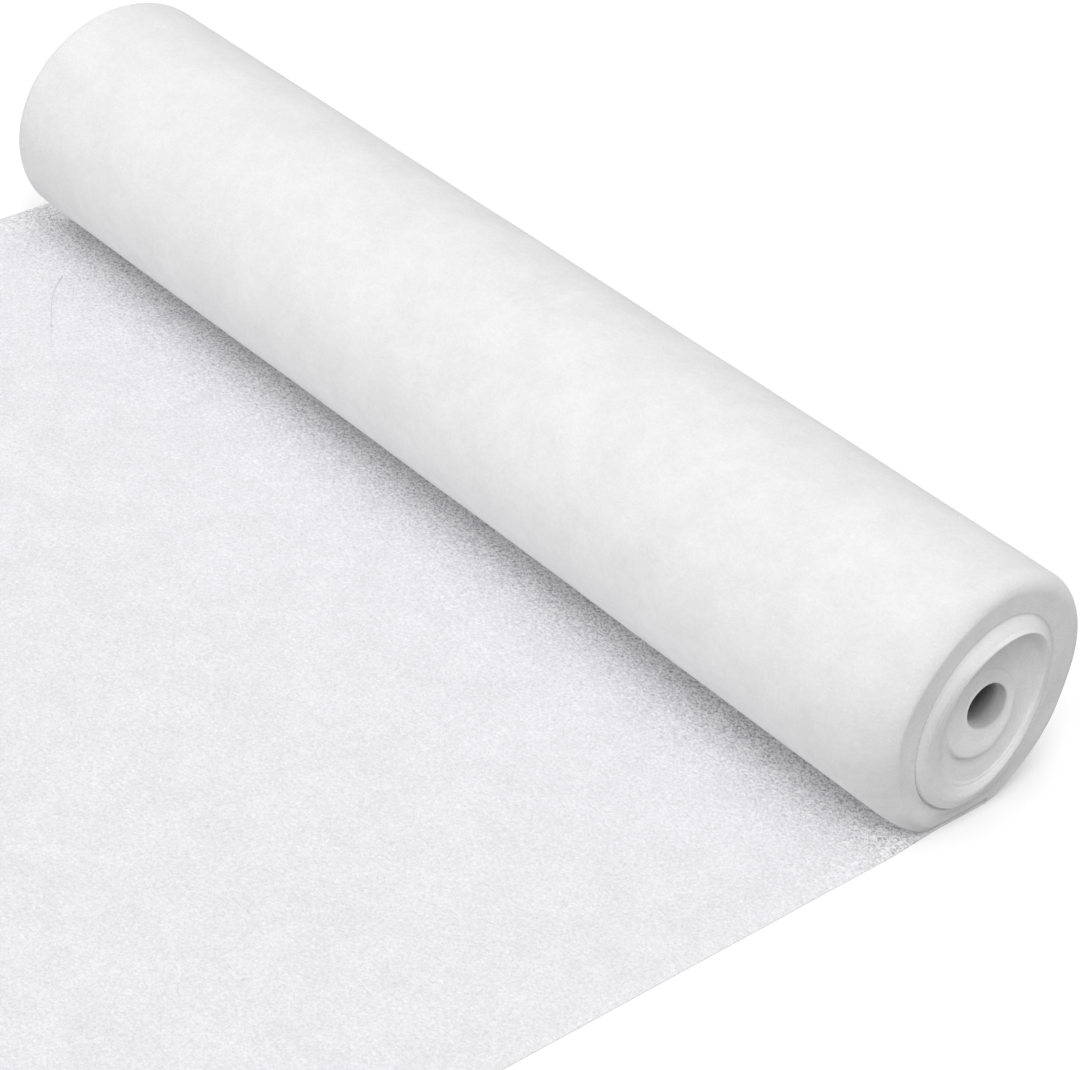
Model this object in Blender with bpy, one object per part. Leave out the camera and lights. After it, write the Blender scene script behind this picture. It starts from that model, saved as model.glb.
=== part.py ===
"""Roll of upholstery foam sheet, standing on its own loose end.

Metres, +Z up. The origin is on the supporting surface under the middle of the roll. The roll lies
along X, its photographed end towards +X, and the loose end is laid out flat towards -Y.
"""

import bpy
import numpy as np

# Driving dimensions of the sheet
SHEET_THICKNESS = 0.003
CLEARANCE = 0.0003  # between the laid sheet and the turns that rest on it
CUT_EDGE_Y = -0.750  # plain cut edge of the loose end
TUCK_EDGE_Y = 0.032  # where the laid sheet leaves the surface and becomes the outermost turn
SHEET_NEAR_X = 0.503
SHEET_FAR_X = -0.535  # the laid sheet has relaxed wider than the wound one
CORNER_RADIUS = 0.004
CORNER_STEPS = 3

# Driving dimensions of the roll
NEAR_END_X = 0.500
FAR_END_X = -0.502
HALF_ACROSS = 0.1074  # half the roll's size along Y at the near end, outermost turn included
HALF_HIGH = 0.1021  # half its height there, before it settles
FAR_END_GIRTH = 0.97  # the far end is wound a little tighter
SETTLE = 0.0070  # how far the underside sinks under the roll's weight
NEAR_EDGE_RADIUS = 0.013
FAR_EDGE_RADIUS = 0.009
UNDER_EDGE_RADIUS = 0.003  # the end edges are pressed nearly square under the roll
EDGE_FADE_ANGLE = np.radians(75.0)  # how far up from the bottom they become full
EDGE_STEPS = 4
LENGTH_STEPS = 8
COLUMNS = 90  # points round the roll
SEAM = 0.0015  # half the angle, in radians, between the first and the last column on the ends
SHARP_ANGLE = np.radians(40.0)  # edges that turn by more are shown crisp

# The broad bands that the turns form on the near end, from the outer band in to the hole. Each row is
# an oval line on the end: its centre and half sizes, how far it stands out of the end's plane at mid
# height, how much further it does so at its top (and less at its bottom), and how much further at its
# two sides.
END_LINES = (
    # name, centre_y, centre_z, half_y, half_z, proud, lean, sides
    ("outer band, inner edge", 0.0055, 0.0935, 0.0708, 0.0795, -0.0003, 0.0, 0.0),
    ("groove", 0.0055, 0.0945, 0.0695, 0.0775, -0.0026, 0.0018, -0.0016),
    ("second band, outer edge", 0.0055, 0.0952, 0.0680, 0.0752, 0.0034, -0.0040, -0.0022),
    ("second band, crown", 0.0075, 0.0945, 0.0605, 0.0680, 0.0070, 0.0006, -0.0035),
    ("second band, inner edge", 0.0108, 0.0958, 0.0520, 0.0622, 0.0068, 0.0022, -0.0033),
    ("well, foot of the wall", 0.0110, 0.0928, 0.0480, 0.0552, 0.0025, -0.0010, -0.0020),
    ("well, floor", 0.0090, 0.0915, 0.0430, 0.0455, -0.0013, -0.0032, -0.0009),
    ("lip, foot", 0.0065, 0.0890, 0.0365, 0.0345, -0.0044, -0.0039, 0.0014),
    ("lip, outer edge", 0.0065, 0.0903, 0.0345, 0.0318, -0.0024, -0.0064, -0.0006),
    ("lip, inner edge", 0.0125, 0.0925, 0.0255, 0.0210, -0.0041, -0.0046, 0.0),
    ("hole, mouth", 0.0134, 0.0937, 0.0212, 0.0168, -0.0050, -0.0038, 0.0),
    ("hole, throat", 0.0145, 0.0930, 0.0190, 0.0163, -0.0120, -0.0020, 0.0),
)
FAR_END_RELIEF = 0.8  # how deep the same bands are at the far end, as a share of the near end's


def clear_scene():
    """Remove every object that the open file holds."""
    for old in list(bpy.data.objects):
        bpy.data.objects.remove(old, do_unlink=True)


def cloth_material(name, colour, roughness):
    """A plain matt surface of the given colour."""
    material = bpy.data.materials.new(name)
    material.use_nodes = True
    surface = material.node_tree.nodes["Principled BSDF"]
    surface.inputs["Base Color"].default_value = (*colour, 1.0)
    surface.inputs["Roughness"].default_value = roughness
    surface.inputs["Metallic"].default_value = 0.0
    return material


def add_solid(name, points, faces, material):
    """One closed object from its points and faces, shaded smooth over its gentle edges."""
    mesh = bpy.data.meshes.new(name)
    mesh.from_pydata(points.tolist(), [], faces)
    mesh.update()
    mesh.shade_smooth()
    mesh.set_sharp_from_angle(angle=SHARP_ANGLE)
    mesh.materials.append(material)
    solid = bpy.data.objects.new(name, mesh)
    bpy.context.scene.collection.objects.link(solid)
    return solid


def section_angles(seam):
    """Angles round the section, from the back foot over the top to the front and under the roll.

    Zero points to +Y and a quarter turn points up. The first and last angle lie on either side of the
    line where the outermost turn leaves for the laid sheet, each of them seam away from it.
    """
    foot = -np.arccos((TUCK_EDGE_Y + CLEARANCE) / HALF_ACROSS)
    return foot + np.linspace(seam, 2 * np.pi - seam, COLUMNS)


def away_from_bottom(angle):
    """How far each angle is from straight down, from 0 to half a turn."""
    return np.abs((angle + 1.5 * np.pi) % (2 * np.pi) - np.pi)


def roll_outline(girth, inset):
    """The roll's outline at one place along it: an oval that winds in and settles on the surface.

    The oval's radius falls by one sheet thickness over the turn, and its underside sinks by SETTLE,
    fading out an eighth of a turn to either side. The first stretch stands on the surface, the last
    one on the laid sheet, and the step between them stands just behind the sheet's tucked edge. Inset
    draws the outline in, as the rounded end edges do.
    """
    angle = section_angles(0.0)
    wound = np.linspace(0.0, 1.0, COLUMNS)
    shrink = SHEET_THICKNESS * wound + inset
    y = (HALF_ACROSS * girth - shrink) * np.cos(angle)
    z = HALF_HIGH * girth + (HALF_HIGH * girth - shrink) * np.sin(angle)
    y[0] = y[-1] = TUCK_EDGE_Y + CLEARANCE
    sink = SETTLE * np.cos(2 * np.minimum(away_from_bottom(angle), np.pi / 4))
    support = np.where(wound > 0.5, SHEET_THICKNESS + CLEARANCE, 0.0)
    return y, np.maximum(z - sink, support + inset)


def girth_at(x):
    """The roll's girth at x, as a share of the near end's, falling evenly to the far end."""
    share = (NEAR_END_X - x) / (NEAR_END_X - FAR_END_X)
    return 1.0 + (FAR_END_GIRTH - 1.0) * share


def outline_ring(x, girth_x, inset=0.0):
    """Points of the outline that the roll has at girth_x, laid at x, which may vary round the ring."""
    y, z = roll_outline(girth_at(girth_x), inset)
    return np.column_stack((np.broadcast_to(x, COLUMNS), y, z))


def end_ring(line, end_x, outward, relief):
    """Points of one oval line of END_LINES on the end at end_x, which faces along outward."""
    _, centre_y, centre_z, half_y, half_z, proud, lean, sides = line
    angle = section_angles(SEAM)
    girth = girth_at(end_x)
    x = end_x + outward * relief * (proud + lean * np.sin(angle) + sides * np.cos(angle) ** 2)
    y = girth * (centre_y + half_y * np.cos(angle))
    z = girth * (centre_z + half_z * np.sin(angle))
    return np.column_stack((x, y, z))


def rounded_edge(end_x, outward, radius):
    """Rings of a rounded end edge, from the straight side to the end's plane.

    The radius is full over the sides and top, and falls to UNDER_EDGE_RADIUS under the roll.
    """
    raised = np.minimum(away_from_bottom(section_angles(0.0)) / EDGE_FADE_ANGLE, 1.0)
    local_radius = UNDER_EDGE_RADIUS + (radius - UNDER_EDGE_RADIUS) * raised * raised * (3 - 2 * raised)
    rings = []
    for turn in np.linspace(0.0, np.pi / 2, EDGE_STEPS + 1):
        back = local_radius * (1.0 - np.sin(turn))
        inset = local_radius * (1.0 - np.cos(turn))
        rings.append(outline_ring(end_x - outward * back, end_x, inset))
    return rings


def wound_roll():
    """The wound part: rings from the near hole out, along the roll, in at the far end and back.

    The last ring joins the first through the hole, so the rings close into one solid.
    """
    near_face = [end_ring(line, NEAR_END_X, 1.0, 1.0) for line in END_LINES]
    far_face = [end_ring(line, FAR_END_X, -1.0, FAR_END_RELIEF) for line in END_LINES]
    near_edge = rounded_edge(NEAR_END_X, 1.0, NEAR_EDGE_RADIUS)
    far_edge = rounded_edge(FAR_END_X, -1.0, FAR_EDGE_RADIUS)
    stations = np.linspace(NEAR_END_X - NEAR_EDGE_RADIUS, FAR_END_X + FAR_EDGE_RADIUS, LENGTH_STEPS + 1)
    side = [outline_ring(x, x) for x in stations[1:-1]]
    rings = near_face[::-1] + near_edge[::-1] + side + far_edge + far_face
    faces = []
    for row in range(len(rings)):
        next_row = (row + 1) % len(rings)
        for column in range(COLUMNS):
            next_column = (column + 1) % COLUMNS
            faces.append((
                row * COLUMNS + column,
                next_row * COLUMNS + column,
                next_row * COLUMNS + next_column,
                row * COLUMNS + next_column,
            ))
    material = cloth_material("wound_foam_sheet", (0.86, 0.86, 0.86), 0.95)
    return add_solid("wound_roll", np.concatenate(rings), faces, material)


def sheet_outline():
    """Corner points of the laid sheet seen from above, with the two cut corners barely rounded."""
    points = [(SHEET_NEAR_X, TUCK_EDGE_Y), (SHEET_FAR_X, TUCK_EDGE_Y)]
    corners = (
        # corner_x, inward_x, start_angle
        (SHEET_FAR_X, 1.0, np.pi),
        (SHEET_NEAR_X, -1.0, 1.5 * np.pi),
    )
    for corner_x, inward_x, start_angle in corners:
        for turn in np.linspace(0.0, np.pi / 2, CORNER_STEPS + 1):
            x = corner_x + inward_x * CORNER_RADIUS + CORNER_RADIUS * np.cos(start_angle + turn)
            y = CUT_EDGE_Y + CORNER_RADIUS + CORNER_RADIUS * np.sin(start_angle + turn)
            points.append((x, y))
    return points


def loose_end():
    """The laid part: a flat slab with the sheet's outline."""
    outline = sheet_outline()
    count = len(outline)
    points = np.array([(x, y, z) for z in (0.0, SHEET_THICKNESS) for x, y in outline])
    faces = [tuple(range(count))[::-1], tuple(range(count, 2 * count))]
    for corner in range(count):
        following = (corner + 1) % count
        faces.append((corner, following, count + following, count + corner))
    material = cloth_material("laid_foam_sheet", (0.88, 0.88, 0.89), 0.95)
    return add_solid("loose_end", points, faces, material)


clear_scene()
wound_roll()
loose_end()
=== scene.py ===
"""A roll of thin white upholstery foam sheet, standing on its own loose end.

Metres, +Z up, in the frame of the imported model: the roll lies along X with its photographed end
towards +X, and the loose end is laid out flat towards -Y.
"""

import bpy
import numpy as np
from mathutils import Matrix, Vector


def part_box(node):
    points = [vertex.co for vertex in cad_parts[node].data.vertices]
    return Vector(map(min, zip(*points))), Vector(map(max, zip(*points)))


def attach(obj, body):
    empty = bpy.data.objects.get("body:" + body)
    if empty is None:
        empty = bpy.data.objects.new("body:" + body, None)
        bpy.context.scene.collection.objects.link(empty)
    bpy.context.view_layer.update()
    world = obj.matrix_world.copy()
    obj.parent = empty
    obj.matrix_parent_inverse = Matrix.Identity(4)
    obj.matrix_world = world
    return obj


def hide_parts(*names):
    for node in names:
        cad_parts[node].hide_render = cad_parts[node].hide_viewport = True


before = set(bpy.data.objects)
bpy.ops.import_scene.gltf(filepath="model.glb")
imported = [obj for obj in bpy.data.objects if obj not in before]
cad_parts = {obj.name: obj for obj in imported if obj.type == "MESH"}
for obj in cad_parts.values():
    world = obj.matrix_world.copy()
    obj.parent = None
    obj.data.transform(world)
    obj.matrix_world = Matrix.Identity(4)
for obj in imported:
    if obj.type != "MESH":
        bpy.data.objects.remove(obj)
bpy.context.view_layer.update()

# The wound roll: some eleven metres of soft white sheet, 3 mm thick, wound on itself with no core. It
# has settled into an oval with a small flat underneath. The turns at its ends have slipped along the
# roll in groups, so each end shows a few broad stepped bands round the hole.
SHEET_THICKNESS = 0.003
LAID_GAP = 0.0001  # between the laid sheet and the turns that rest on it
NEAR_END_X = 0.500
FAR_END_X = -0.502
HALF_ACROSS = 0.1074
HALF_HIGH = 0.1021  # before it settles
FAR_END_GIRTH = 0.97  # as a share of the near end's
SETTLE = 0.0070  # how far the underside sinks under the roll's weight
FOOT_ROUNDING = 0.0022  # how softly the skin turns into the flat that it rests on
SEAM = 0.0004  # half the angle, in radians, between the first and the last column on the ends
COLUMNS = 240  # points round the roll
NEAR_EDGE_ROWS = 36
FAR_EDGE_ROWS = 14
SIDE_ROWS = 130
HOLE_ROWS = 24
NEAR_ROW_PITCH = 0.0006
FAR_ROW_PITCH = 0.0016
HOLE_STRETCHES = 2  # the last ones between END_LINES, in to the hole's mouth and throat
HOLE_FINENESS = 2.0  # how many times closer the rows are there
ROLL_SHARP_ANGLE = np.radians(55.0)  # edges that turn by more are shown crisp
tuck_edge_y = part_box("loose_end")[1][1]

# The roll's end edges. Here and below, four angles say where round the roll a shape starts, is full,
# starts to fall and has ended, in degrees: 0 is its back, 90 its top, 180 its front and 270 its bottom.
NEAR_EDGE_RADIUS = 0.013
FAR_EDGE_RADIUS = 0.007
UNDER_EDGE_RADIUS = 0.0006  # under the roll, where the edges are pressed nearly square
FRONT_EDGE_RISE = 75.0  # how many degrees up from the bottom they are full at the front
BACK_EDGE_START = 38.0  # how many degrees up from the bottom they start to grow at the back
BACK_EDGE_RISE = 45.0  # and over how many more they are full there
EDGE_MARGIN = 0.0035  # how far the edge rings run on past the rounding
EDGE_CROWDING = 1.6  # the power that gathers the edge rings where the edge is steep
FRONT_TAPER_ANGLES = (82, 150, 215, 262)
FRONT_TAPER_DEPTH = 1.9  # how much longer the rounding is along the roll at its front, as a share
FRONT_TAPER_WIDTH = 0.80  # and how much broader across it
FRONT_TAPER_POWERS = (0.7, 1.3)  # the first eases the taper into the side, the second into the end
FRONT_TAPER_ONSET = 2.0  # how many times sooner the taper has its form than its full size
PRESSED_THICKNESS = 0.0016  # of the laid sheet at the near end, where the roll's edge presses on it
PRESSED_LENGTH = 0.007
UNDER_BULGE = 0.005  # how far the near end swells out above the sheet, squeezed by the roll's weight
UNDER_BULGE_REACH = 0.012
UNDER_BULGE_ANGLES = (215, 250, 305, 340)
OUTER_TURN_DEPTH = 0.0026  # the groove inside the outermost turn, where it parts from the next one
OUTER_TURN_WIDTH = 0.0008
OUTER_TURN_ANGLES = (260, 280, 318, 350)

# The roll's skin: long low waves, and a lower front that is a little slack in the middle of the roll.
SKIN_WAVE_HEIGHT = 0.00016
SKIN_WAVES = (
    # share of that height, radians to a metre along the roll, waves round it, shift in radians
    (1.0, 23.0, 2.0, 0.0),
    (0.6, 51.0, -3.0, 1.0),
)
MID_SLACK = 0.0012
MID_SLACK_ANGLES = (165, 210, 230, 262)

# Soft creases round the roll's skin, where the sheet puckered as it was wound.
SKIN_CREASES = (
    # x, height, half_width, the four angles
    (0.030, 0.0003, 0.0028, 70, 85, 115, 140),
    (0.044, -0.0002, 0.0022, 72, 88, 110, 128),
    (0.055, 0.0004, 0.0026, 68, 78, 100, 122),
    (-0.110, 0.0003, 0.0028, 92, 104, 116, 128),
    (-0.440, 0.0003, 0.0032, 98, 112, 136, 152),
)
CREASE_CROWDING = 6.0  # how many more rings the side has at a crease, as a share of elsewhere
CREASE_CROWDING_REACH = 0.009
CROWDING_STEPS = 2001

# The broad bands of slipped turns on the near end, from the outer band in to the hole. Each row is an
# oval line: its centre and half sizes, how far it stands out of the end's plane at mid height, how much
# further it does so at its top and at its two sides, and how far its top drifts to +Y, and its bottom
# the other way.
END_LINES = (
    # name, centre_y, centre_z, half_y, half_z, proud, lean, sides, drift
    ("outer band, inner edge", 0.0055, 0.0940, 0.0690, 0.0790, 0.0008, -0.0012, 0.0, 0.003),
    ("groove", 0.0050, 0.0945, 0.0676, 0.0768, -0.0010, -0.0002, 0.0, 0.004),
    ("second band, outer edge", 0.0045, 0.0950, 0.0662, 0.0742, 0.0032, -0.0034, -0.0026, 0.005),
    ("second band, crown", 0.0065, 0.0945, 0.0600, 0.0680, 0.0068, -0.0010, -0.0035, 0.004),
    ("second band, inner edge", 0.0103, 0.0970, 0.0525, 0.0632, 0.0068, 0.0022, -0.0033, 0.002),
    ("well, foot of the wall", 0.0110, 0.0938, 0.0485, 0.0575, 0.0020, -0.0010, -0.0020, 0.001),
    ("well, floor", 0.0090, 0.0915, 0.0430, 0.0465, -0.0018, -0.0034, -0.0009, 0.0),
    ("lip, foot", 0.0065, 0.0890, 0.0365, 0.0345, -0.0044, -0.0039, 0.0014, 0.0),
    ("lip, outer edge", 0.0065, 0.0903, 0.0345, 0.0318, -0.0024, -0.0064, -0.0006, 0.0),
    ("lip, inner edge", 0.0125, 0.0925, 0.0255, 0.0210, -0.0041, -0.0046, 0.0, 0.0),
    ("hole, mouth", 0.0134, 0.0925, 0.0212, 0.0156, -0.0050, -0.0038, 0.0, 0.0),
    ("hole, throat", 0.0145, 0.0918, 0.0190, 0.0152, -0.0120, -0.0020, 0.0, 0.0),
)
FAR_END_RELIEF = 0.8  # how deep the same bands are at the far end, as a share of the near end's

# Fine ridges and grooves along those lines.
END_CREASES = (
    # line, height, half_width, the four angles
    ("outer band, inner edge", 0.0016, 0.0045, 225, 255, 290, 322),
    ("groove", 0.0011, 0.0012, 165, 195, 228, 258),
    ("groove", -0.0030, 0.0012, 240, 272, 295, 328),
    ("second band, inner edge", -0.0006, 0.0009, 225, 255, 300, 340),
    ("well, foot of the wall", -0.0030, 0.0045, 20, 60, 120, 175),
    ("lip, foot", -0.0011, 0.0008, 215, 246, 330, 352),
    ("hole, mouth", 0.0011, 0.0006, 60, 130, 170, 250),
)
TURN_RELIEF = 0.00010  # how far the middle of each turn's edge stands out
TURN_RELIEF_MEAN = 0.6  # the share of it by which all are set back again, so the end stays in place
TURN_RELIEF_ONSET = 3.0  # over how many turns in from the edge it comes up

# The hole through the middle, darkened towards the inside by shade painted into the sheet's colour.
HOLE_GATHERING = 7.0  # gathers the hole's rings at its two ends, the more so the nearer it is to 2 pi
HOLE_SHADE_LENGTH = 0.007  # how far in the hole loses about two thirds of its brightness
HOLE_SHADE_LEAD = 0.0045  # how far outside the throat it begins to, at the angle below
HOLE_SHADE_ANGLE = np.radians(310.0)  # the lower back
PAINTED_SHADE_DEEP_IN_HOLE = 0.11  # how bright the sheet is deep in the hole, as a share of elsewhere


def section_angles(seam):
    """Angles from the back foot over the top to the front and under the roll; zero points to +Y."""
    foot = -np.arccos((tuck_edge_y + LAID_GAP) / HALF_ACROSS)
    return foot + np.linspace(seam, 2 * np.pi - seam, COLUMNS)


def away_from_bottom(angle):
    """How far each angle is from straight down, from 0 to half a turn."""
    return np.abs((angle + 1.5 * np.pi) % (2 * np.pi) - np.pi)


def smooth_step(share):
    """0 up to 0, 1 from 1 on, and a cubic with level ends in between."""
    share = np.clip(share, 0.0, 1.0)
    return share * share * (3.0 - 2.0 * share)


def fade(angle, start, full, fall, end):
    """1 from full to fall and 0 before start and after end, in degrees, with eased slopes between."""
    angle = np.degrees(angle) % 360.0
    return smooth_step((angle - start) / (full - start)) * smooth_step((end - angle) / (end - fall))


def cubic(start, end, start_slope, end_slope, share):
    """The cubic that runs from start to end as share goes from 0 to 1, with these slopes there."""
    return (
        start * (1 + 2 * share) * (1 - share) ** 2
        + end * (3 - 2 * share) * share**2
        + start_slope * share * (1 - share) ** 2
        - end_slope * share**2 * (1 - share)
    )


def skin_swell(x, angle):
    """How far the skin stands out at x and angle.

    The sum of sine waves and of a bell for each crease, less the slack. The waves and the slack die
    out towards both ends as a sine and its square.
    """
    along = np.clip((NEAR_END_X - x) / (NEAR_END_X - FAR_END_X), 0.0, 1.0)
    waves = sum(
        share * np.sin(lengthwise * x + round_it * angle + shift)
        for share, lengthwise, round_it, shift in SKIN_WAVES
    )
    swell = SKIN_WAVE_HEIGHT * waves * np.sin(np.pi * along)
    swell = swell - MID_SLACK * np.sin(np.pi * along) ** 2 * fade(angle, *MID_SLACK_ANGLES)
    for crease_x, height, half_width, *angles in SKIN_CREASES:
        swell = swell + height * np.exp(-(((x - crease_x) / half_width) ** 2)) * fade(angle, *angles)
    return swell


def roll_outline(x, inset):
    """Points of the outline at x, drawn in by inset: a row for each ring, a column for each angle.

    An oval whose radius falls by one sheet thickness over the turn and whose underside sinks by
    SETTLE, fading out an eighth of a turn away. Its first stretch is cut off level with the surface,
    its last one just above the laid sheet: its height above these is the larger of itself and 0, with
    the corner between them rounded off as a hyperbola.
    """
    angle = section_angles(0.0)
    wound = np.linspace(0.0, 1.0, COLUMNS)
    girth = 1.0 + (FAR_END_GIRTH - 1.0) * (NEAR_END_X - x) / (NEAR_END_X - FAR_END_X)
    shrink = SHEET_THICKNESS * wound + inset - skin_swell(x, angle)
    y = (HALF_ACROSS * girth - shrink) * np.cos(angle)
    z = HALF_HIGH * girth + (HALF_HIGH * girth - shrink) * np.sin(angle)
    y[:, [0, -1]] = tuck_edge_y + LAID_GAP
    sink = SETTLE * np.cos(2 * np.minimum(away_from_bottom(angle), np.pi / 4))
    unpressed = smooth_step((NEAR_END_X - x) / PRESSED_LENGTH)
    thickness = PRESSED_THICKNESS + (SHEET_THICKNESS - PRESSED_THICKNESS) * unpressed
    support = np.where(wound > 0.5, thickness + LAID_GAP, 0.0)
    above = z - sink - support - inset
    z = support + inset + (above + np.sqrt(above**2 + FOOT_ROUNDING**2)) / 2
    return np.stack((np.broadcast_to(x, y.shape), y, z), axis=2)


def rounded_edge(end_x, outward, radius, rows, near):
    """Rings from the side over a rounded end edge and a little way in, closest where the edge is steep.

    The edge is a quarter round, and small under the roll. With near at 1, and not at 0, its front is a
    taper, one minus a power of the share of its width, to another power. The end then also swells out
    under the roll, and a bell-shaped groove runs one sheet thickness inside the outline, from the back
    foot up.
    """
    angle = section_angles(0.0)
    away = np.degrees(away_from_bottom(angle))
    at_back = np.degrees(angle) % 360.0 >= 270.0
    raised = np.where(at_back, (away - BACK_EDGE_START) / BACK_EDGE_RISE, away / FRONT_EDGE_RISE)
    local_radius = UNDER_EDGE_RADIUS + (radius - UNDER_EDGE_RADIUS) * smooth_step(raised)
    front = near * fade(angle, *FRONT_TAPER_ANGLES)
    depth = local_radius * (1.0 + FRONT_TAPER_DEPTH * front)
    width = local_radius * (1.0 + FRONT_TAPER_WIDTH * front)
    inset = np.linspace(0.0, 1.0, rows)[:, None] ** EDGE_CROWDING * (width + EDGE_MARGIN)
    share = np.clip(inset / width, 0.0, 1.0)
    quarter_round = 1.0 - np.sqrt(1.0 - (1.0 - share) ** 2)
    into_side, into_end = FRONT_TAPER_POWERS
    taper = (1.0 - share**into_side) ** into_end
    back = depth * (quarter_round + (taper - quarter_round) * np.minimum(front * FRONT_TAPER_ONSET, 1.0))
    bulge = UNDER_BULGE * smooth_step(inset / UNDER_BULGE_REACH) * fade(angle, *UNDER_BULGE_ANGLES)
    groove = OUTER_TURN_DEPTH * np.exp(-(((inset - SHEET_THICKNESS) / OUTER_TURN_WIDTH) ** 2))
    groove = groove * fade(angle, *OUTER_TURN_ANGLES) * (np.arange(COLUMNS) < COLUMNS / 2)
    return roll_outline(end_x - outward * (back - near * bulge + near * groove), inset)


def end_face(edge_ring, end_x, outward, relief, row_pitch):
    """Rings from the end edge in to the hole's throat, and how many turns in from the edge each one is.

    Seen along the roll, the points between two lines of END_LINES run straight. Their height follows
    a cubic whose slope at a line is the harmonic mean of the slopes beside it, or level where these
    change sign, so it overshoots nowhere. The edge of each turn then swells as the arch of a sine, and
    each of END_CREASES as a bell across its line.
    """
    angle = section_angles(SEAM)
    girth = 1.0 if outward > 0 else FAR_END_GIRTH
    _, centre_y, centre_z, half_y, half_z, proud, lean, sides, drift = (
        np.array(column)[:, None] for column in zip(*END_LINES)
    )
    x = end_x + outward * relief * (proud + lean * np.sin(angle) + sides * np.cos(angle) ** 2)
    y = girth * (centre_y + half_y * np.cos(angle) + drift * np.sin(angle))
    z = girth * (centre_z + half_z * np.sin(angle))
    lines = np.concatenate((edge_ring[None], np.stack((x, y, z), axis=2)))
    spacing = np.linalg.norm(np.diff(lines[:, :, 1:], axis=0), axis=2).mean(axis=1)
    rise = np.diff(lines[:, :, 0], axis=0) / spacing[:, None]
    total = np.where(rise[:-1] * rise[1:] > 0, rise[:-1] + rise[1:], np.inf)
    slope = np.zeros(lines.shape[:2])
    slope[1:-1] = 2.0 * rise[:-1] * rise[1:] / total
    rings, turns = [], []
    for k, gap in enumerate(spacing):
        finer = HOLE_FINENESS if k >= len(spacing) - HOLE_STRETCHES else 1.0
        share = np.linspace(0.0, 1.0, max(2, round(finer * gap / row_pitch)) + 1)[1:, None]
        ring = lines[k] + (lines[k + 1] - lines[k]) * share[:, :, None]
        ring[:, :, 0] = cubic(lines[k, :, 0], lines[k + 1, :, 0], slope[k] * gap, slope[k + 1] * gap, share)
        rings.append(ring)
        turns.append((spacing[:k].sum() + gap * share[:, 0]) / SHEET_THICKNESS)
    rings, turns = np.concatenate(rings), np.concatenate(turns)
    arches = np.abs(np.sin(np.pi * (turns[:, None] + np.linspace(0.0, 1.0, COLUMNS))))
    swell = TURN_RELIEF * (arches - TURN_RELIEF_MEAN) * smooth_step(turns[:, None] / TURN_RELIEF_ONSET)
    names = [line[0] for line in END_LINES]
    for name, height, half_width, *angles in END_CREASES:
        away = turns[:, None] * SHEET_THICKNESS - spacing[: names.index(name) + 1].sum()
        swell = swell + height * relief * np.exp(-((away / half_width) ** 2)) * fade(angle, *angles)
    rings[:, :, 0] += outward * swell
    return rings, turns


def add_piece(name, points, faces, sharp_angle=None):
    """An object of those points and faces, shaded smooth, except at edges sharper than sharp_angle."""
    mesh = bpy.data.meshes.new(name)
    mesh.from_pydata(points, [], faces)
    mesh.update()
    mesh.shade_smooth()
    if sharp_angle is not None:
        mesh.set_sharp_from_angle(angle=sharp_angle)
    piece = bpy.data.objects.new(name, mesh)
    bpy.context.scene.collection.objects.link(piece)
    return piece


def wound_cloth(name, rings, turns, painted_shade_in_hole):
    """A closed skin on rings that close both round each ring and from the last ring to the first.

    Its UV map runs once round each ring in U, and V is how many turns in from the outside it is. The
    attribute that carries the painted shade in the hole goes from 0 outside the hole to 1 deep in it, and
    nap is 1.
    """
    rows, columns = rings.shape[:2]
    corner = np.arange(rows * columns).reshape(rows, columns)
    next_row = np.roll(corner, -1, axis=0)
    faces = np.stack(
        (corner, next_row, np.roll(next_row, -1, axis=1), np.roll(corner, -1, axis=1)), axis=2
    )
    piece = add_piece(name, rings.reshape(-1, 3), faces.reshape(-1, 4), ROLL_SHARP_ANGLE)
    around = np.broadcast_to(np.arange(columns) / columns, (rows, columns))
    depth = np.broadcast_to(turns[:, None], (rows, columns))
    next_depth = np.roll(depth, -1, axis=0)
    u = np.stack((around, around, around + 1.0 / columns, around + 1.0 / columns), axis=2)
    v = np.stack((depth, next_depth, next_depth, depth), axis=2)
    piece.data.uv_layers.new(name="turns").data.foreach_set("uv", np.stack((u, v), axis=3).ravel())
    for attribute, values in (("painted_shade_in_hole", painted_shade_in_hole.ravel()), ("nap", np.ones(rows * columns))):
        piece.data.attributes.new(attribute, "FLOAT", "POINT").data.foreach_set("value", values)
    return piece


near_edge = rounded_edge(NEAR_END_X, 1.0, NEAR_EDGE_RADIUS, NEAR_EDGE_ROWS, 1.0)
far_edge = rounded_edge(FAR_END_X, -1.0, FAR_EDGE_RADIUS, FAR_EDGE_ROWS, 0.0)
near_face, near_turns = end_face(near_edge[-1], NEAR_END_X, 1.0, 1.0, NEAR_ROW_PITCH)
far_face, far_turns = end_face(far_edge[-1], FAR_END_X, -1.0, FAR_END_RELIEF, FAR_ROW_PITCH)

# The rings along the side are closest at the creases.
places = np.linspace(NEAR_END_X, FAR_END_X, CROWDING_STEPS)
crowding = 1.0 + sum(
    CREASE_CROWDING * np.exp(-(((places - crease[0]) / CREASE_CROWDING_REACH) ** 2))
    for crease in SKIN_CREASES
)
rings_passed = np.concatenate(([0.0], np.cumsum(crowding[1:]))) / crowding[1:].sum()
ring_shares = np.linspace(0.0, 1.0, SIDE_ROWS + 2)[1:-1]
along_side = np.interp(ring_shares, rings_passed, np.linspace(0.0, 1.0, CROWDING_STEPS))[:, None]
side = roll_outline(near_edge[0, :, 0] * (1.0 - along_side) + far_edge[0, :, 0] * along_side, 0.0)

into_hole = np.linspace(0.0, 1.0, HOLE_ROWS + 2)[1:-1, None, None]
into_hole = into_hole - np.sin(2 * np.pi * into_hole) / HOLE_GATHERING
hole = far_face[-1] + (near_face[-1] - far_face[-1]) * into_hole
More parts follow.
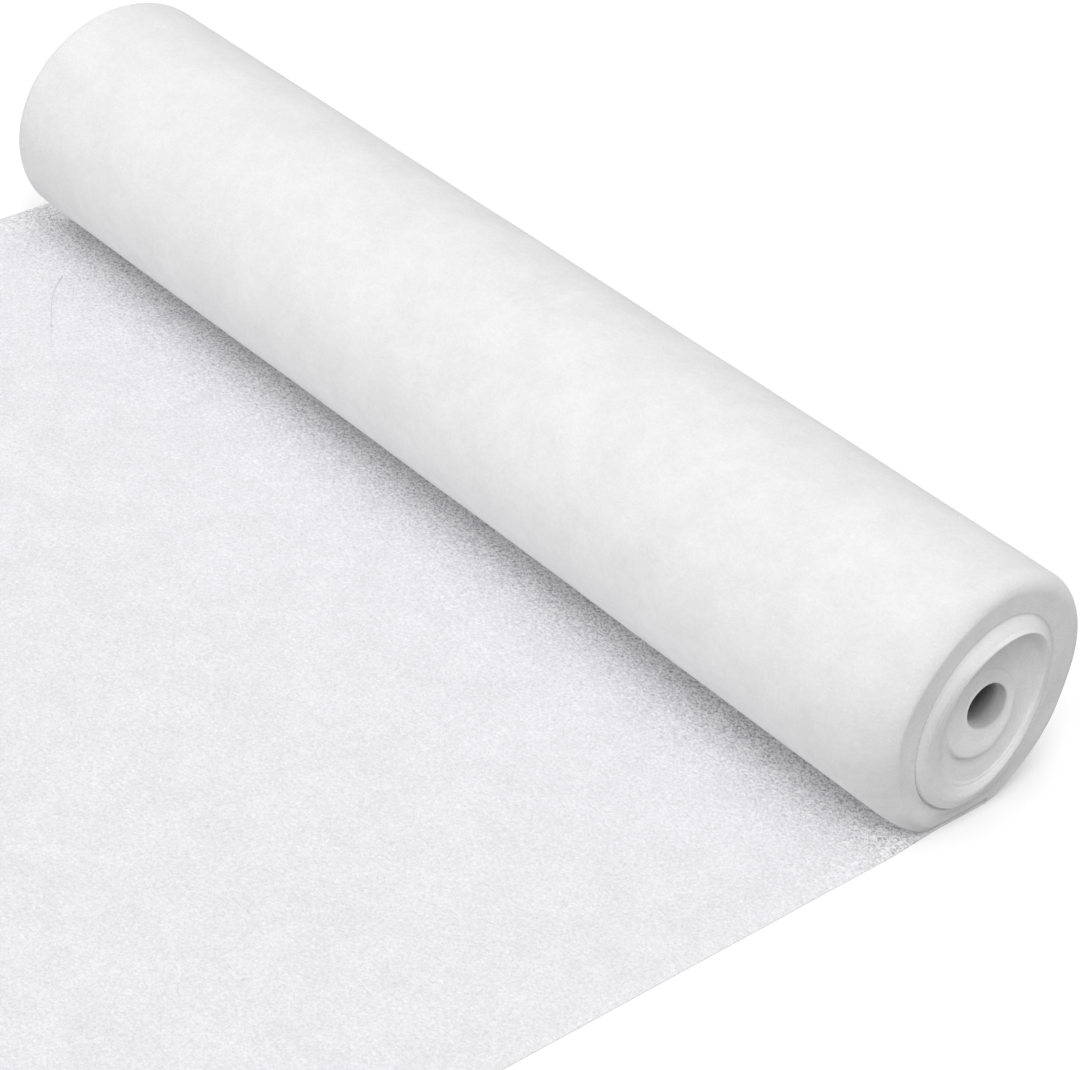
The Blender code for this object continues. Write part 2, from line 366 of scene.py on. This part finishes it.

# How far each ring is past the throat of the hole, or less than 0 where it is outside. The skin and the
# edges count as a metre outside. The painted shade, which darkens the colour in the hole, is one minus an
# exponential of that depth and the lead.
near_outside, far_outside = (
    (turns.max() - turns)[:, None] * SHEET_THICKNESS for turns in (near_turns, far_turns)
)
skin_rows = NEAR_EDGE_ROWS + SIDE_ROWS + FAR_EDGE_ROWS
inside = np.minimum(hole[:, 0, 0] - far_face[-1, 0, 0], near_face[-1, 0, 0] - hole[:, 0, 0])[:, None]
past_throat = np.concatenate((-near_outside[::-1], -np.ones((skin_rows, 1)), -far_outside, inside))
lead = HOLE_SHADE_LEAD * (0.5 + 0.5 * np.cos(section_angles(0.0) - HOLE_SHADE_ANGLE))
hole_shade = 1.0 - np.exp(-np.maximum(past_throat + lead, 0.0) / HOLE_SHADE_LENGTH)
roll = wound_cloth(
    "wound_roll_cloth",
    np.concatenate((near_face[::-1], near_edge[::-1], side, far_edge, far_face, hole)),
    np.concatenate((near_turns[::-1], np.zeros(skin_rows), far_turns, np.full(HOLE_ROWS, far_turns[-1]))),
    hole_shade,
)

# The cloth itself: matt white fibres, a little cloudy, with a fine nap.
ROLL_COLOUR = (0.77, 0.77, 0.77)
ROLL_CLOUD = 0.060
ROLL_GRAIN = 0.040
ROLL_RELIEF = 0.0004
CLOUD_NOISE = (("Scale", 22.0), ("Detail", 4.0), ("Roughness", 0.85))
FIBRE_NOISE = (("Scale", 400.0), ("Detail", 2.0), ("Roughness", 0.9), ("Distortion", 0.6))
USUAL_NOISE = (("From Min", 0.25), ("From Max", 0.75))  # what most of a noise lies between
WHITEST = (0.95, 0.95, 0.95)  # no fibre is whiter
FOAM_ROUGHNESS = 0.95
FOAM_SHEEN = 0.15


def add_node(tree, kind, links=(), **settings):
    """A node of that kind, with its settings made and each (input, value or output feeding it) set."""
    node = tree.nodes.new(kind)
    for name, value in settings.items():
        setattr(node, name, value)
    for target, source in links:
        if hasattr(source, "is_output"):
            tree.links.new(source, node.inputs[target])
        else:
            node.inputs[target].default_value = source
    return node


def foam_sheet_material(name, colour, cloud, grain, relief):
    """Matt white fibrous sheet, with clouds of up to 45 mm and fibres of 2.5 mm in its colour.

    The colour is multiplied by one plus cloud times the first noise, and by one plus grain times nap
    times the second, and is held below WHITEST. Each noise here runs from about -1 to 1. The mesh's
    attribute nap is 1 where the sheet lies smooth and more where it is fluffy. The fibres also stand
    out by up to relief, in metres.
    """
    material = bpy.data.materials.new(name)
    material.use_nodes = True
    tree = material.node_tree
    surface = tree.nodes["Principled BSDF"]
    place = tree.nodes.new("ShaderNodeTexCoord").outputs["Object"]
    nap = add_node(tree, "ShaderNodeAttribute", attribute_name="nap").outputs["Fac"]
    clouds = add_node(tree, "ShaderNodeTexNoise", (("Vector", place), *CLOUD_NOISE)).outputs["Fac"]
    fibres = add_node(tree, "ShaderNodeTexNoise", (("Vector", place), *FIBRE_NOISE)).outputs["Fac"]
    cloud_factor = add_node(
        tree, "ShaderNodeMapRange",
        (("Value", clouds), *USUAL_NOISE, ("To Min", 1.0 - cloud), ("To Max", 1.0 + cloud)), clamp=False,
    )
    fibre_share = add_node(
        tree, "ShaderNodeMapRange",
        (("Value", fibres), *USUAL_NOISE, ("To Min", -grain), ("To Max", grain)), clamp=False,
    )
    fibre_factor = add_node(
        tree, "ShaderNodeMath", ((0, fibre_share.outputs[0]), (1, nap), (2, 1.0)), operation="MULTIPLY_ADD"
    )
    both = add_node(
        tree, "ShaderNodeMath", ((0, cloud_factor.outputs[0]), (1, fibre_factor.outputs[0])),
        operation="MULTIPLY",
    )
    uneven = add_node(
        tree, "ShaderNodeVectorMath", ((0, colour), (1, both.outputs[0])), operation="MULTIPLY"
    )
    tint = add_node(
        tree, "ShaderNodeVectorMath", ((0, uneven.outputs[0]), (1, WHITEST)), operation="MINIMUM"
    )
    bump = add_node(
        tree, "ShaderNodeBump", (("Strength", 1.0), ("Distance", relief), ("Height", fibres))
    )
    tree.links.new(tint.outputs[0], surface.inputs["Base Color"])
    tree.links.new(bump.outputs[0], surface.inputs["Normal"])
    surface.inputs["Roughness"].default_value = FOAM_ROUGHNESS
    surface.inputs["Specular IOR Level"].default_value = FOAM_SHEEN
    return material


roll_material = foam_sheet_material("wound_foam_cloth", ROLL_COLOUR, ROLL_CLOUD, ROLL_GRAIN, ROLL_RELIEF)
roll_tree = roll_material.node_tree
roll_surface = roll_tree.nodes["Principled BSDF"]
open_colour = roll_surface.inputs["Base Color"].links[0].from_socket
# Painted shade in the hole: the colour is darkened by the point attribute made above, down to a share of
# itself deep in.
painted_shade_in_hole = add_node(roll_tree, "ShaderNodeAttribute", attribute_name="painted_shade_in_hole").outputs["Fac"]
painted_hole_dimming = add_node(
    roll_tree, "ShaderNodeMapRange", (("Value", painted_shade_in_hole), ("To Min", 1.0), ("To Max", PAINTED_SHADE_DEEP_IN_HOLE))
)
colour_with_painted_shade = add_node(
    roll_tree, "ShaderNodeVectorMath", ((0, open_colour), (1, painted_hole_dimming.outputs[0])), operation="MULTIPLY"
)
roll_tree.links.new(colour_with_painted_shade.outputs[0], roll_surface.inputs["Base Color"])
roll.data.materials.append(roll_material)
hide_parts("wound_roll")
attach(roll, "root")

# The loose end: the same sheet where it has been unwound. It lies flat on the surface, runs in under
# the roll and goes on there as the roll's outermost turn. Its long edges are slit and its end is cut.
SHEET_COLUMNS = 260
SHEET_ROWS = 190
SHEET_SHARP_ANGLE = np.radians(50.0)
EDGE_THICKNESS = 0.0003
EDGE_FEATHER = 0.007  # how far in from an edge the sheet has its full thickness
NEAR_EDGE_X = 0.5025
UNDER_ROLL_START_Y = -0.075  # the sheet's edges change to those under the roll from here
UNDER_ROLL_CHANGE = 0.060  # over this length
UNDER_ROLL_NEAR_X = 0.5001  # the sheet is flush with the roll's end where the roll rests on it
UNDER_ROLL_FEATHER = 0.016
SHEET_WAVE_HEIGHT = 0.00012
SHEET_WAVES = (
    # radians to a metre along X and along Y, shift in radians
    (31.0, 17.0, 0.0),
    (-23.0, 67.0, 2.0),
)
SHEET_WAVE_MARGIN = 0.04  # how far in from an edge the waves are full
SHEET_COLOUR = (0.778, 0.776, 0.800)
SHEET_CLOUD = 0.050
SHEET_GRAIN = 0.150
SHEET_RELIEF = 0.0006
NIP_NAP = 3.9  # how much fluffier the sheet is where it has just come off the roll
NIP_Y = -0.060  # the line at which it comes off
NIP_NAP_LENGTH = 0.030  # how far out from there about two thirds of the fluff is laid
NIP_NAP_UNDER = 0.012  # how far on under the roll the sheet is as fluffy
NIP_NAP_END = 0.02  # and over which length it then turns smooth

sheet_low, sheet_high = (np.array(corner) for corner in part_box("loose_end"))


def laid_sheet(name):
    """A closed sheet on a grid: level below, and above as thick as the sheet, thinning at its edges.

    The thickness rises from the edges as a smooth step, and low sine waves run over it. Under the roll
    the edges are pressed square and the near one is drawn in to the roll's end. The attribute nap is 1
    plus a share that falls as an exponential from the line where the sheet comes off the roll.
    """
    u = np.linspace(0.0, 1.0, SHEET_COLUMNS)[None, :]
    v = np.linspace(0.0, 1.0, SHEET_ROWS)[:, None]
    y = np.broadcast_to(sheet_low[1] + (sheet_high[1] - sheet_low[1]) * v, (SHEET_ROWS, SHEET_COLUMNS))
    pressed = smooth_step((y - UNDER_ROLL_START_Y) / UNDER_ROLL_CHANGE)
    near_x = NEAR_EDGE_X + (UNDER_ROLL_NEAR_X - NEAR_EDGE_X) * pressed
    x = sheet_low[0] + (near_x - sheet_low[0]) * u
    from_edge = np.minimum(np.minimum(x - sheet_low[0], near_x - x), y - sheet_low[1])
    edge_thickness = EDGE_THICKNESS + (PRESSED_THICKNESS - EDGE_THICKNESS) * pressed
    feather = EDGE_FEATHER + (UNDER_ROLL_FEATHER - EDGE_FEATHER) * pressed
    top = edge_thickness + (sheet_high[2] - edge_thickness) * smooth_step(from_edge / feather)
    waves = sum(np.sin(along_x * x + along_y * y + shift) for along_x, along_y, shift in SHEET_WAVES)
    top = top + SHEET_WAVE_HEIGHT * waves * smooth_step(from_edge / SHEET_WAVE_MARGIN) * (1.0 - pressed)
    points = np.stack((np.stack((x, y, np.zeros_like(x)), axis=2), np.stack((x, y, top), axis=2)))
    above = SHEET_ROWS * SHEET_COLUMNS
    corner = np.arange(above).reshape(SHEET_ROWS, SHEET_COLUMNS)
    quads = np.stack((corner[:-1, :-1], corner[:-1, 1:], corner[1:, 1:], corner[1:, :-1]), axis=2)
    quads = quads.reshape(-1, 4)
    rim = np.concatenate((corner[0, :-1], corner[:-1, -1], corner[-1, :0:-1], corner[:0:-1, 0]))
    wall = np.stack((rim, np.roll(rim, -1), np.roll(rim, -1) + above, rim + above), axis=1)
    faces = np.concatenate((quads[:, ::-1], quads + above, wall))
    piece = add_piece(name, points.reshape(-1, 3), faces, SHEET_SHARP_ANGLE)
    behind = points[..., 1].ravel() - NIP_Y
    fluff = np.exp(np.minimum(behind / NIP_NAP_LENGTH, 0.0))
    nap = 1.0 + NIP_NAP * fluff * smooth_step(1.0 - (behind - NIP_NAP_UNDER) / NIP_NAP_END)
    piece.data.attributes.new("nap", "FLOAT", "POINT").data.foreach_set("value", nap)
    return piece


sheet = laid_sheet("loose_end_cloth")
sheet.data.materials.append(
    foam_sheet_material("laid_foam_cloth", SHEET_COLOUR, SHEET_CLOUD, SHEET_GRAIN, SHEET_RELIEF)
)
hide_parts("loose_end")
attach(sheet, "root")

# Lint on the loose end: one long grey fibre that curls out from under the roll near its far end, and
# a few short ones. They lie loose on the sheet.
LINT_SIDES = 6
LINT_STEPS = 8  # to each stretch between two of its points
LINT_TAPER = 0.55
LINT_LIFT = 0.0003  # clear of the sheet's waves
LINT_ROUGHNESS = 0.8
LINT_NOISE_SCALE = 900.0
LINT_GREYS = (0.46, 0.66)
LINT = (
    # name, radius, points from end to end
    ("long_fibre", 0.00020, (
        (-0.4260, -0.1047), (-0.4189, -0.1148), (-0.4101, -0.1251), (-0.3993, -0.1348),
        (-0.3842, -0.1465), (-0.3613, -0.1628), (-0.3363, -0.1805),
    )),
    ("short_fibre_far", 0.00032, ((-0.3676, -0.1588), (-0.3660, -0.1585), (-0.3645, -0.1579))),
    ("short_fibre_middle", 0.00026, ((0.2940, -0.4716), (0.2956, -0.4720), (0.2974, -0.4731))),
    ("short_fibre_near", 0.00024, ((0.3447, -0.5142), (0.3455, -0.5151), (0.3459, -0.5163))),
    ("short_fibre_front", 0.00024, ((0.1788, -0.5697), (0.1800, -0.5700), (0.1813, -0.5706))),
)


def lint_fibre(name, radius, points):
    """A closed round tube through the points, on the sheet, tapering to its last one.

    The path is a cubic through them whose slope at each point is that of the chord beside it.
    """
    points = np.column_stack((points, np.full(len(points), sheet_high[2] + LINT_LIFT + radius)))
    slopes = np.gradient(points, axis=0)
    share = np.tile(np.linspace(0.0, 1.0, LINT_STEPS, endpoint=False), len(points) - 1)[:, None]
    at = np.repeat(np.arange(len(points) - 1), LINT_STEPS)
    path = cubic(points[at], points[at + 1], slopes[at], slopes[at + 1], share)
    path = np.concatenate((path, points[-1:]))
    ahead = np.gradient(path, axis=0)
    ahead = ahead / np.linalg.norm(ahead, axis=1)[:, None]
    across = np.cross(ahead, (0.0, 0.0, 1.0))
    turn = np.linspace(0.0, 2 * np.pi, LINT_SIDES, endpoint=False)[None, :, None]
    local_radius = radius * (1.0 - LINT_TAPER * np.linspace(0.0, 1.0, len(path)))[:, None, None]
    rings = path[:, None] + local_radius * (
        across[:, None] * np.cos(turn) + np.array((0.0, 0.0, 1.0)) * np.sin(turn)
    )
    corner = np.arange(len(path) * LINT_SIDES).reshape(len(path), LINT_SIDES)
    beside = np.roll(corner, -1, axis=1)
    walls = np.stack((corner[:-1], beside[:-1], beside[1:], corner[1:]), axis=2).reshape(-1, 4)
    faces = walls.tolist() + [corner[0, ::-1].tolist(), corner[-1].tolist()]
    return add_piece(name, rings.reshape(-1, 3), faces)


lint_material = bpy.data.materials.new("grey_lint")
lint_material.use_nodes = True
lint_tree = lint_material.node_tree
lint_surface = lint_tree.nodes["Principled BSDF"]
lint_place = lint_tree.nodes.new("ShaderNodeTexCoord").outputs["Object"]
lint_noise = add_node(
    lint_tree, "ShaderNodeTexNoise", (("Vector", lint_place), ("Scale", LINT_NOISE_SCALE))
)
lint_tint = add_node(
    lint_tree, "ShaderNodeMapRange",
    (("Value", lint_noise.outputs["Fac"]), ("To Min", LINT_GREYS[0]), ("To Max", LINT_GREYS[1])),
)
lint_tree.links.new(lint_tint.outputs[0], lint_surface.inputs["Base Color"])
lint_surface.inputs["Roughness"].default_value = LINT_ROUGHNESS
for name, radius, points in LINT:
    fibre = lint_fibre(name, radius, points)
    fibre.data.materials.append(lint_material)
    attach(fibre, "root")

# The studio: a plain pale floor, even light from the sky, and three broad soft lights: a low one beyond
# the loose end, one high up over its near corner and one straight overhead.
WHITE = (1.0, 1.0, 1.0, 1.0)
FLOOR_HALF_SIZE = 8.0
FLOOR_DROP = 0.0002  # just under the part
FLOOR_CORNERS = ((-1, -1), (1, -1), (1, 1), (-1, 1))
FLOOR_WHITE = 0.95
FLOOR_GLOW = 0.07
FLOOR_BOUNCE = 0.35  # what it throws back on the roll, as a grey table would
floor = add_piece(
    "studio_floor",
    [(x * FLOOR_HALF_SIZE, y * FLOOR_HALF_SIZE, -FLOOR_DROP) for x, y in FLOOR_CORNERS],
    [(0, 1, 2, 3)],
)
floor_material = bpy.data.materials.new("studio_floor_paint")
floor_material.use_nodes = True
floor_tree = floor_material.node_tree
floor_surface = floor_tree.nodes["Principled BSDF"]
floor_surface.inputs["Base Color"].default_value = (*[FLOOR_WHITE] * 3, 1.0)
floor_surface.inputs["Roughness"].default_value = 1.0
floor_surface.inputs["Specular IOR Level"].default_value = 0.0
floor_surface.inputs["Emission Color"].default_value = WHITE
floor_surface.inputs["Emission Strength"].default_value = FLOOR_GLOW
grey_paint = add_node(floor_tree, "ShaderNodeBsdfDiffuse", (("Color", (*[FLOOR_BOUNCE] * 3, 1.0)),))
floor_ray = floor_tree.nodes.new("ShaderNodeLightPath")
seen_or_bounced = add_node(
    floor_tree, "ShaderNodeMixShader",
    ((0, floor_ray.outputs["Is Camera Ray"]), (1, grey_paint.outputs[0]), (2, floor_surface.outputs[0])),
)
floor_tree.links.new(seen_or_bounced.outputs[0], floor_tree.nodes["Material Output"].inputs["Surface"])
floor.data.materials.append(floor_material)

SKY_STRENGTH = 0.69
BACKDROP_STRENGTH = 1.05  # of the sky where the camera sees it
world = bpy.data.worlds.new("studio_sky")
world.use_nodes = True
sky_tree = world.node_tree
sky = sky_tree.nodes["Background"]
sky.inputs["Color"].default_value = WHITE
sky.inputs["Strength"].default_value = SKY_STRENGTH
white_backdrop = add_node(
    sky_tree, "ShaderNodeBackground", (("Color", WHITE), ("Strength", BACKDROP_STRENGTH))
)
sky_ray = sky_tree.nodes.new("ShaderNodeLightPath")
seen_or_lighting = add_node(
    sky_tree, "ShaderNodeMixShader",
    ((0, sky_ray.outputs["Is Camera Ray"]), (1, sky.outputs[0]), (2, white_backdrop.outputs[0])),
)
sky_tree.links.new(seen_or_lighting.outputs[0], sky_tree.nodes["World Output"].inputs["Surface"])
bpy.context.scene.world = world

SOFT_LIGHTS = (
    # name, direction it comes from, radiance of a white surface that faces it, angle across
    ("low_front_softbox", (0.20, -0.945, 0.26), 0.205, 50.0),
    ("corner_softbox", (0.332, -0.332, 0.883), 0.28, 30.0),
    ("overhead_softbox", (0.0, 0.0, 1.0), 0.11, 30.0),
)
for name, direction, radiance, across in SOFT_LIGHTS:
    softbox = bpy.data.lights.new(name, "SUN")
    softbox.energy = radiance * np.pi
    softbox.angle = np.radians(across)
    light = bpy.data.objects.new(name, softbox)
    light.rotation_mode = "QUATERNION"
    light.rotation_quaternion = Vector(direction).to_track_quat("Z", "Y")
    bpy.context.scene.collection.objects.link(light)
bpy.context.scene.view_settings.view_transform = "Standard"

# The camera, at the photograph's viewing angle.
CAMERA_AZIMUTH = np.radians(43.643)
CAMERA_ELEVATION = np.radians(34.527)
CAMERA_ROLL = np.radians(7.667)
CAMERA_DISTANCE = 2.6652
CAMERA_TARGET = Vector((0.0763, -0.0146, 0.0))
SENSOR_WIDTH = 36.0
LENS = 115.02
back = Vector((
    np.sin(CAMERA_AZIMUTH) * np.cos(CAMERA_ELEVATION),
    -np.cos(CAMERA_AZIMUTH) * np.cos(CAMERA_ELEVATION),
    np.sin(CAMERA_ELEVATION),
))
camera_data = bpy.data.cameras.new("camera")
camera_data.sensor_width = SENSOR_WIDTH
camera_data.lens = LENS
camera = bpy.data.objects.new("camera", camera_data)
camera.matrix_world = (
    Matrix.Translation(CAMERA_TARGET + back * CAMERA_DISTANCE)
    @ back.to_track_quat("Z", "Y").to_matrix().to_4x4()
    @ Matrix.Rotation(CAMERA_ROLL, 4, "Z")
)
bpy.context.scene.collection.objects.link(camera)
bpy.context.scene.camera = camera
